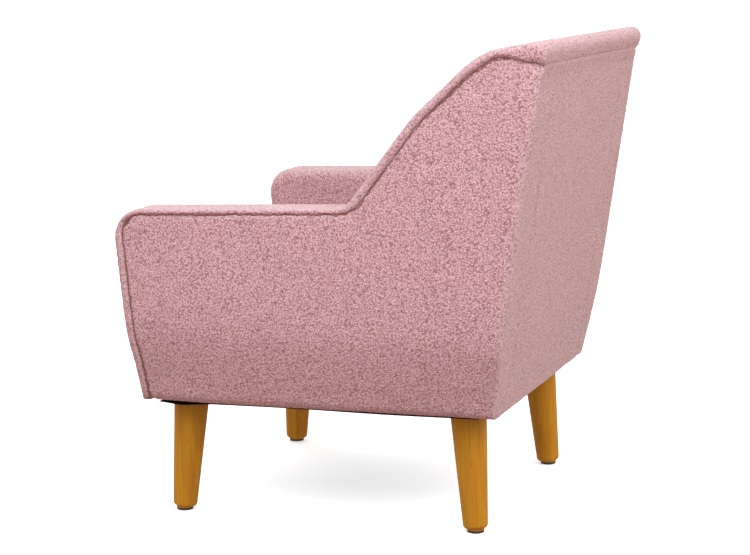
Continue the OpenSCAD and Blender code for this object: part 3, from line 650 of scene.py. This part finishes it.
def shell(points, triangles, normals, outer, inner):
    """A closed layer between two depths below a surface."""
    count = len(points)
    top = points - normals * np.reshape(outer, (-1, 1))
    bottom = points - normals * np.reshape(inner, (-1, 1))
    edges = np.concatenate([triangles[:, pair] for pair in ((0, 1), (1, 2), (2, 0))])
    key = edges[:, 0].astype(np.int64) * count + edges[:, 1]
    back = edges[:, 1].astype(np.int64) * count + edges[:, 0]
    rim = edges[~np.isin(key, back)]
    a, b = rim.T
    walls = np.concatenate((np.stack((b, a, a + count), 1), np.stack((b, a + count, b + count), 1)))
    faces = np.concatenate((triangles, triangles[:, ::-1] + count, walls))
    return np.concatenate((top, bottom)), faces


SMOOTH_ANGLE = math.radians(60)


def new_piece(name, points, faces, slot, body="chair"):
    mesh = bpy.data.meshes.new(name)
    mesh.vertices.add(len(points))
    mesh.vertices.foreach_set("co", np.asarray(points, np.float32).ravel())
    faces = np.asarray(faces, np.int32)
    mesh.loops.add(faces.size)
    mesh.loops.foreach_set("vertex_index", faces.ravel())
    mesh.polygons.add(len(faces))
    mesh.polygons.foreach_set("loop_start", np.arange(0, faces.size, faces.shape[1], dtype=np.int32))
    mesh.update(calc_edges=True)
    mesh.validate()
    piece = bpy.data.objects.new(name, mesh)
    bpy.context.scene.collection.objects.link(piece)
    mesh.polygons.foreach_set("use_smooth", np.ones(len(mesh.polygons), bool))
    mesh.set_sharp_from_angle(angle=SMOOTH_ANGLE)
    mesh.materials.append(MATERIALS[slot])
    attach(piece, body)
    return piece


# ---------------------------------------------------------------- covers and padding
COVER = 2.2 * MM        # thickness of a cover with its pile
NUB = 0.4 * MM          # how far the pile's loops differ in height
HEM = 26 * MM           # width of the covers' hems under the frame
HEM_RISE = 9 * MM
GROOVE = 4.5 * MM       # depth of the seam round a side panel
ON_SIDE = 30 * MM       # depth of the zone that belongs to the side's surface
FRONT_FOOT_Y = -322.5 * MM
REAR_FOOT_Y = 244.5 * MM
X_LIMIT = 0.37
Y_LIMITS = (-0.375, 0.375)
Z_LIMITS = (BODY_BOTTOM - 0.012, 0.80)


def body_surface(step):
    """One half of the body's surface, with its normals."""
    origin = (-step / 2, Y_LIMITS[0], Z_LIMITS[0])
    x = origin[0] + np.arange(0, X_LIMIT, step)
    y = np.arange(*Y_LIMITS, step)
    z = np.arange(*Z_LIMITS, step)
    f = Fields(x[:, None, None], y[None, :, None], z[None, None, :], (y[:, None], z[None, :]))
    points, triangles = surface(body_form(f).astype(np.float32), origin, step)
    whole = mirrored(points, triangles, np.zeros_like(points))
    normals = point_normals(*whole[:2])[:len(points)]
    return points, triangles, normals


def regions(f):
    """Where each cover lies on the body's surface; negative inside."""
    plan = np.maximum(f.side + HEM, np.maximum(FRONT_FOOT_Y + HEM - f.y, f.y - REAR_FOOT_Y + HEM))
    under = np.maximum(plan, f.z - BODY_BOTTOM - HEM_RISE)
    side = np.maximum(np.maximum(f.panel, f.outline - f.side), -f.side - ON_SIDE)
    back = np.maximum(np.maximum(f.z - OUTSIDE_SEAM_Z, -f.behind_frame - 2 * MM), f.side - f.outline)
    deck = np.maximum(f.between, np.maximum(f.z - DECK_TOP - 1.5 * MM, -f.y + FRONT_FOOT_Y + 20 * MM))
    arm = np.maximum(np.maximum(-side, -back), np.maximum(-f.between, -deck))
    middle = np.maximum(np.maximum(f.between, -back), np.maximum(DECK_TOP - 1.5 * MM - f.z, -f.y))
    front = np.maximum(np.maximum(f.between, f.y), np.maximum(f.z - DECK_TOP, -deck))
    keep = -under
    return {name: np.maximum(value, keep) for name, value in
            (("side", side), ("back", back), ("arm", arm), ("middle", middle), ("front", front))}


def seam_depth(f, name):
    """How deep a cover dips along its seams; the band outside the side panel dips more steeply."""
    lies_on_side = np.clip((f.side + ON_SIDE) / (8 * MM), 0, 1)
    away = np.abs(f.panel)
    width = 7 * MM if name == "side" else 9 * MM
    t = np.clip(1 - away / width, 0, 1)
    dip = GROOVE * (1 - np.sqrt(np.maximum(1 - t * t, 0))) * lies_on_side
    for y, z in POCKETS:
        dip = dip + 3 * MM * np.exp(-(np.hypot(f.y - y, f.z - z) / (8 * MM)) ** 2) * lies_on_side
    top = np.clip(1 - np.abs(f.z - OUTSIDE_SEAM_Z) / (6 * MM), 0, 1) * (f.behind_frame > 0)
    dip = np.maximum(dip, 1.1 * MM * (1 - np.sqrt(1 - top * top)))
    inner = np.clip(1 - np.abs(f.between) / (6 * MM), 0, 1) * (f.behind_inside > -20 * MM)
    return np.maximum(dip, 3 * MM * (1 - np.sqrt(1 - inner * inner)))


def cut_cover(base, name):
    points, triangles, normals = base
    f = Fields(*points.T)
    return clip(points, triangles, normals, regions(f)[name])


def cover(cut, name, seed):
    """A cover from one piece of the surface: dipped at its seams, uneven and nubbly."""
    points, triangles, normals = cut
    f = Fields(*points.T)
    depth = seam_depth(f, name) + unevenness(points)
    random = np.random.default_rng(seed)
    pile = random.uniform(-1, 1, len(points)) * NUB
    return shell(points, triangles, normals, depth + pile, depth + COVER)


def padding(cut, name, inner):
    """The foam or wadding under a cover; it stops short of the seam beside the side panel."""
    clear = 12 * MM
    points, triangles, normals = cut
    f = Fields(*points.T)
    if name in ("side", "arm"):
        near = np.where(f.side > -ON_SIDE, clear - np.abs(f.panel), -1.0)
        points, triangles, normals = clip(points, triangles, normals, near)
        f = Fields(*points.T)
    depth = seam_depth(f, name) + unevenness(points)
    return shell(points, triangles, normals, depth + COVER + 0.6 * MM, depth + inner)


COVERS = (
    # region, slot, cover's name, CAD cover, padding's name, CAD padding, padding's slot, its depth
    ("side", "fabric", "side_panel", "side_cover", "side_pad", "side_wadding", "wadding", 8 * MM),
    ("arm", "fabric", "arm_band", "arm_cover", "arm_pad", "arm_foam", "foam", 16 * MM),
    ("back", "fabric_back", "outside_back_panel", "outside_back_cover",
     "outside_back_pad", "back_wadding", "wadding", 6.5 * MM),
    ("middle", "fabric", "inside_back_panel", "inside_back_cover",
     "inside_back_pad", "back_foam", "foam", 26 * MM),
    ("front", "fabric", "front_rail_panel", "front_rail_cover",
     "front_rail_pad", "front_rail_foam", "foam", 8.5 * MM),
)


def upholstery():
    """The covers and the padding under them, all cut from the one body."""
    fine = body_surface(2.7 * MM)
    coarse = body_surface(7 * MM)
    seed = 0
    for region, slot, cover_name, cad_cover, pad_name, cad_pad, pad_slot, depth in COVERS:
        cut, cut_pad = cut_cover(fine, region), cut_cover(coarse, region)
        if region in ("side", "arm"):
            sides = (("_left", cut, cut_pad), ("_right", flipped(*cut), flipped(*cut_pad)))
        else:
            sides = (("", mirrored(*cut), mirrored(*cut_pad)),)
        for suffix, top, low in sides:
            seed += 1
            piece = new_piece(cover_name + suffix, *cover(top, region, seed), slot)
            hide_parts(cad_cover + suffix)
            pad = new_piece(pad_name + suffix, *padding(low, region, depth), pad_slot)
            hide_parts(cad_pad + suffix)


# ---------------------------------------------------------------- swept and laid pieces
def resampled(path, step):
    """The same path with points at an even distance."""
    path = np.asarray(path, float)
    length = np.concatenate(([0], np.cumsum(np.linalg.norm(np.diff(path, axis=0), axis=1))))
    at = np.linspace(0, length[-1], max(int(length[-1] / step), 2) + 1)
    return np.stack([np.interp(at, length, path[:, k]) for k in range(3)], 1)


def tube(path, radius, sides=8):
    """A closed round tube along a path; the radius may differ from point to point."""
    count = len(path)
    radius = np.broadcast_to(radius, count)
    tangents = np.gradient(path, axis=0)
    tangents /= np.linalg.norm(tangents, axis=1)[:, None]
    normal = np.cross(tangents[0], (0.3, 0.5, 0.8))
    rings = []
    for point, tangent, r in zip(path, tangents, radius):
        normal = normal - tangent * normal.dot(tangent)
        normal /= np.linalg.norm(normal)
        other = np.cross(tangent, normal)
        angles = np.arange(sides) * math.tau / sides
        rings.append(point + r * (np.cos(angles)[:, None] * normal + np.sin(angles)[:, None] * other))
    points = np.concatenate(rings + [path[:1], path[-1:]])
    faces = []
    for i in range(count - 1):
        for k in range(sides):
            a, b = i * sides + k, i * sides + (k + 1) % sides
            faces += [(a, b, b + sides), (a, b + sides, a + sides)]
    first, last = count * sides, count * sides + 1
    base = (count - 1) * sides
    for k in range(sides):
        n = (k + 1) % sides
        faces += [(first, n, k), (last, base + k, base + n)]
    return points, np.array(faces)


def joined(parts):
    """The points and faces of several parts as one."""
    points, faces, start = [], [], 0
    for p, f in parts:
        points.append(p)
        faces.append(f + start)
        start += len(p)
    return np.concatenate(points), np.concatenate(faces)


def seam_lines():
    """The dark stitched line at the bottom of the groove round each side panel; its stitches are real, its
    darkness is partly painted shade of the groove.
    """
    curve = np.array([tuple(q) for q in PANEL_CURVE])
    corner = np.argmin(np.hypot(curve[:, 0] - (SEAM_TOP[0] * MM - MIDDLE_Y), curve[:, 1] - SEAM_TOP[1] * MM))
    path = np.concatenate((curve[corner:], curve[:1]))
    sunk = 4.3 * MM
    stitch = 4          # points of the line per stitch
    for seed, (suffix, sign) in enumerate((("_left", 1), ("_right", -1))):
        dense = resampled(np.stack((0 * path[:, 0], path[:, 0], path[:, 1]), 1), 1.6 * MM)
        inside = polygon_distance(SIDE_CURVE, dense[:, 1], dense[:, 2]) < -4 * MM
        dense = dense[inside]
        depth = (tuck(dense[:, 2]) + sunk) / math.cos(SPLAY)
        random = np.random.default_rng(40 + seed)
        dense[:, 0] = side_x(dense[:, 1]) - depth - unevenness(dense)
        wander = random.normal(0, 1, (len(dense) + 8, 3))
        wander = np.stack([np.convolve(wander[:, k], np.ones(5) / 5, "same")[4:-4] for k in range(3)], 1)
        dense += wander * (0.5, 2.2, 2.2) * MM
        dense[:, 0] *= sign
        pinch = 0.5 + 0.5 * np.cos(np.arange(len(dense)) * math.tau / stitch)
        radius = (0.9 + 0.7 * pinch + random.uniform(-0.3, 0.3, len(dense))) * MM
        # Painted shade: the dark line is drawn thicker at the pockets, where the groove's corner is darkest.
        for y, z in POCKETS:
            near = np.hypot(dense[:, 1] - y, dense[:, 2] - z) / (13 * MM)
            radius = radius * (1 + 0.8 * np.clip(1 - near, 0, 1))
        piece = new_piece("seam_and_shade_line" + suffix, *tube(dense, radius), "seam")
        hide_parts("tack_strip" + suffix)


def laid_sheet(name, slot, spans, step, height, thickness, cut):
    """A thin closed sheet over a rectangle, kept where cut is negative and laid at height."""
    (x0, x1), (y0, y1) = spans
    xs = np.linspace(x0, x1, int((x1 - x0) / step) + 1)
    ys = np.linspace(y0, y1, int((y1 - y0) / step) + 1)
    gx, gy = np.meshgrid(xs, ys, indexing="ij")
    points = np.stack((gx.ravel(), gy.ravel(), 0 * gx.ravel()), 1)
    index = np.arange(len(points)).reshape(gx.shape)
    a, b = index[:-1, :-1].ravel(), index[1:, :-1].ravel()
    c, d = index[1:, 1:].ravel(), index[:-1, 1:].ravel()
    triangles = np.concatenate((np.stack((a, b, c), 1), np.stack((a, c, d), 1)))
    normals = np.zeros_like(points)
    normals[:, 2] = 1
    points, triangles, normals = clip(points, triangles, normals, cut(points[:, 0], points[:, 1]))
    points[:, 2] = height(points[:, 0], points[:, 1])
    return new_piece(name, *shell(points, triangles, normals, 0, thickness), slot)


def deck():
    """The plain cloth stretched over the deck's foam, seen when the cushion is lifted."""
    low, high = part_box("deck_cloth")

    def height(x, y):
        wave = 0.5 + 0.25 * np.sin(31 * x + 9 * y) + 0.25 * np.sin(47 * y - 13 * x + 1)
        return high.z - 0.2 * MM - 0.7 * MM * wave

    def cut(x, y):
        return np.abs(x) - (side_x(y) - ARM_WIDTH / math.cos(SPLAY) - 0.3 * MM)

    piece = laid_sheet("deck_cloth_sheet", "deck_cloth", ((low.x, high.x), (low.y, high.y)), 8 * MM,
                       height, 1.2 * MM, cut)
    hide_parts("deck_cloth")


def dust_cover():
    """The black cloth under the seat, stapled over the covers' hems and open round the legs. It
    hangs lower beside the left front leg."""
    low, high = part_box("dust_cover")
    inset_by = 8 * MM
    half_opening = 29 * MM
    leg_y, leg_in = 237 * MM, 116 * MM      # a leg's top from the middle and from the side
    sag_at = (0.268, -0.268)
    tops = []
    for y in (-MIDDLE_Y - leg_y, -MIDDLE_Y + leg_y):
        tops += [(sign * (side_x(y) - leg_in), y) for sign in (1, -1)]

    def height(x, y):
        slack = 0.6 * MM * (1 + np.sin(23 * x + 2) * np.sin(19 * y))
        drop = 5.5 * MM * np.exp(-((x - sag_at[0]) ** 2 + (y - sag_at[1]) ** 2) / (2 * 0.022 ** 2))
        return low.z - 0.2 * MM - slack - drop

    def cut(x, y):
        value = np.abs(x) - (side_x(y) - (SIDE_TUCK + 12 * MM) / math.cos(SPLAY))
        for top_x, top_y in tops:
            value = np.maximum(value, half_opening - np.maximum(np.abs(x - top_x), np.abs(y - top_y)))
        return value

    spans = ((low.x, high.x), (low.y + inset_by, high.y - inset_by))
    piece = laid_sheet("dust_cover_sheet", "dust_cloth", spans, 6 * MM, height, 0.8 * MM, cut)
    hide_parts("dust_cover")


def springs():
    """Zigzag springs of round wire on the rails."""
    low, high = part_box("seat_springs")
    count, bends, straight = 4, 14, 16 * MM
    spread = 400 * MM
    squareness = 2.2    # how flat the bends' ends are
    wire = high.z - low.z
    pitch = spread / count
    half_width = (high.x - low.x - (count - 1) * pitch) / 2 - wire / 2
    parts = []
    for i in range(count):
        middle = (i - (count - 1) / 2) * pitch
        y = np.linspace(low.y, high.y, 600)
        run = (y - low.y - straight) / (high.y - low.y - 2 * straight)
        swing = np.clip(np.minimum(run, 1 - run) * bends, 0, 1)
        phase = np.clip(run, 0, 1) * (bends + 1) * math.pi
        wave = np.tanh(squareness * np.sin(phase)) / math.tanh(squareness)
        x = middle + half_width * swing * wave
        path = resampled(np.stack((x, y, 0 * y + (low.z + high.z) / 2), 1), 3 * MM)
        parts.append(tube(path, wire / 2, 10))
    piece = new_piece("seat_springs_wire", *joined(parts), "spring_steel")
    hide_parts("seat_springs")


# ---------------------------------------------------------------- loose seat cushion
CUSHION_LOW, CUSHION_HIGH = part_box("cushion_cover")
CUSHION_CLEAR = 5 * MM
SWELL_FRAMES = 20
SWELL_MOST = 12 * MM


def cushion_sides(x, y, z, by):
    """The cushion's block moved in by a distance; negative inside."""
    ends = np.maximum(CUSHION_LOW.y + by - y, y - line_at(INSIDE_LOW, INSIDE_HIGH, z) + CUSHION_CLEAR + by)
    sides = (np.abs(x) - side_x(y)) * math.cos(SPLAY) + ARM_WIDTH + CUSHION_CLEAR + by
    walls = round_max(ends, sides, 26 * MM)
    faces = np.maximum(CUSHION_LOW.z + 0.2 * MM - z, z - CUSHION_HIGH.z + by * 1.6)
    return round_max(walls, faces, 9 * MM)


def inflated(piece):
    """Swells a mesh by cloth pressure; no point moves further than SWELL_MOST. Returns its points
    before and after."""
    rest = np.empty(len(piece.data.vertices) * 3, np.float32)
    piece.data.vertices.foreach_get("co", rest)
    rest = rest.reshape(-1, 3)
    modifier = piece.modifiers.new("cloth", "CLOTH")
    settings = modifier.settings
    settings.quality = 5
    settings.mass = 0.25
    settings.tension_stiffness = settings.compression_stiffness = 18
    settings.shear_stiffness = 10
    settings.bending_stiffness = 1.2
    settings.use_pressure = True
    settings.uniform_pressure_force = 4
    settings.effector_weights.gravity = 0
    modifier.collision_settings.use_collision = False
    scene = bpy.context.scene
    scene.frame_start, scene.frame_end = 1, SWELL_FRAMES
    modifier.point_cache.frame_end = SWELL_FRAMES
    for number in range(1, SWELL_FRAMES + 1):
        scene.frame_set(number)
    result = piece.evaluated_get(bpy.context.evaluated_depsgraph_get())
    swollen = np.empty(len(rest) * 3, np.float32)
    result.data.vertices.foreach_get("co", swollen)
    piece.modifiers.remove(modifier)
    scene.frame_set(1)
    move = swollen.reshape(-1, 3) - rest
    length = np.linalg.norm(move, axis=1)
    move *= np.minimum(1, SWELL_MOST / np.maximum(length, 1e-9))[:, None]
    return rest, rest + move


def subdivided(points, faces):
    """One Catmull-Clark step, applied to a scratch mesh."""
    mesh = bpy.data.meshes.new("scratch")
    mesh.from_pydata(points.tolist(), [], faces.tolist())
    scratch = bpy.data.objects.new("scratch", mesh)
    bpy.context.scene.collection.objects.link(scratch)
    modifier = scratch.modifiers.new("subdivision", "SUBSURF")
    modifier.levels = modifier.render_levels = 1
    result = scratch.evaluated_get(bpy.context.evaluated_depsgraph_get()).to_mesh()
    co = np.empty(len(result.vertices) * 3, np.float32)
    result.vertices.foreach_get("co", co)
    index = np.empty(len(result.loops), np.int32)
    result.loops.foreach_get("vertex_index", index)
    bpy.data.objects.remove(scratch)
    bpy.data.meshes.remove(mesh)
    return co.reshape(-1, 3), index.reshape(-1, 4)


def quad_surface(field, origin, step):
    """The same surface as four-sided faces, for subdivision."""
    points, triangles = surface(field, origin, step)
    half = len(triangles) // 2
    quads = np.concatenate((triangles[:half], triangles[half:, 2:]), 1)
    return points, quads


def cushion():
    """A boxed cushion: crowned faces, walls pulled in at their seams, and a zipper at the back."""
    step = 8 * MM
    low = np.array(CUSHION_LOW) - 2 * step
    high = np.array(CUSHION_HIGH) + 2 * step
    x, y, z = (np.arange(a, b, step) for a, b in zip(low, high))
    block = cushion_sides(x[:, None, None], y[None, :, None], z[None, None, :], 7 * MM)
    points, quads = quad_surface(block.astype(np.float32), low, step)
    soft = new_piece("cushion_start", points, quads, "fabric", "seat_cushion")
    rest, swollen = inflated(soft)
    bpy.data.objects.remove(soft)
    rest, _ = subdivided(np.asarray(rest), quads)
    shape, faces = subdivided(np.asarray(swollen), quads)
    triangles = np.concatenate((faces[:, [0, 1, 2]], faces[:, [0, 2, 3]]))
    normals = point_normals(shape, triangles)
    seam_room = 15 * MM
    wall = 1 - np.clip(np.abs(normals[:, 2]) * 1.4, 0, 1)
    top_seam = CUSHION_HIGH.z - 11 * MM - seam_room
    bottom_seam = CUSHION_LOW.z + seam_room
    away = np.minimum(np.abs(rest[:, 2] - top_seam), np.abs(rest[:, 2] - bottom_seam))
    t = np.clip(1 - away / (8 * MM), 0, 1)
    dip = 4.5 * MM * (1 - np.sqrt(1 - t * t)) * np.clip(wall * 3, 0, 1)
    pile = np.random.default_rng(71).uniform(-1, 1, len(shape)) * NUB
    shape = shape - normals * (dip + pile + unevenness(shape) * 1.4)[:, None]
    over = cushion_sides(*shape.T, -1.5 * MM)
    shape = shape - normals * np.clip(over, 0, None)[:, None]
    shape[:, 2] = np.maximum(shape[:, 2], CUSHION_LOW.z)
    piece = new_piece("cushion_cover_soft", shape, triangles, "fabric", "seat_cushion")
    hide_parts("cushion_cover", "cushion_foam")
    zipper(shape)


def zipper(shape):
    """A coil zipper across the cushion's back: two tapes, a row of teeth and a pull."""
    low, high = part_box("cushion_zipper")
    middle = (low.z + high.z) / 2
    near = np.abs(shape[:, 2] - middle) < 9 * MM
    rear = shape[near & (shape[:, 1] > 0)]
    xs = np.arange(low.x, high.x + 1e-6, 4 * MM)
    ys = np.array([rear[np.abs(rear[:, 0] - x) < 8 * MM, 1].max() for x in xs])
    ys = np.convolve(np.pad(ys, 3, "edge"), np.ones(7) / 7, "valid") + 0.6 * MM
    parts = []
    flatness = 0.2
    for sign in (-1, 1):
        line = np.stack((xs, ys - 0.3 * MM, 0 * xs + middle + sign * 3.6 * MM), 1)
        points, faces = tube(line, 3 * MM)
        wall = np.interp(points[:, 0], xs, ys)
        points[:, 1] = (points[:, 1] - wall) * flatness + wall
        parts.append((points, faces))
    turns = np.linspace(0, 1, int((xs[-1] - xs[0]) / (0.9 * MM)))
    along_x = xs[0] + turns * (xs[-1] - xs[0])
    swing = np.where(np.arange(len(turns)) % 2 == 0, 1, -1)
    coil = np.stack((along_x, np.interp(along_x, xs, ys) + 0.6 * MM, middle + swing * 1.5 * MM), 1)
    parts.append(tube(coil, 0.5 * MM, 6))
    piece = new_piece("cushion_zipper_coil", *joined(parts), "zipper", "seat_cushion")
    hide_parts("cushion_zipper")
    at = np.array((xs[-1] - 6 * MM, ys[-1] + 1.4 * MM, middle))
    slider = tube(at + np.array([[-4, 0, 0], [-2, 0.3, 0], [3, 0.3, 0], [5, 0, 0]]) * MM,
                  np.array([1.5, 2.4, 2.4, 1.2]) * MM, 12)
    tab = tube(at + np.array([[-4, 1, 0], [-8, 1.2, -0.2], [-16, 0.6, -0.6], [-22, 0.4, -0.8]]) * MM,
               np.array([0.7, 1.3, 1.5, 1.1]) * MM, 10)
    new_piece("cushion_zipper_pull", *joined((slider, tab)), "zinc_steel", "seat_cushion")


make_camera()
make_studio()
paint_cad_nodes()
upholstery()
seam_lines()
deck()
dust_cover()
springs()
cushion()

bpy.context.view_layer.update()
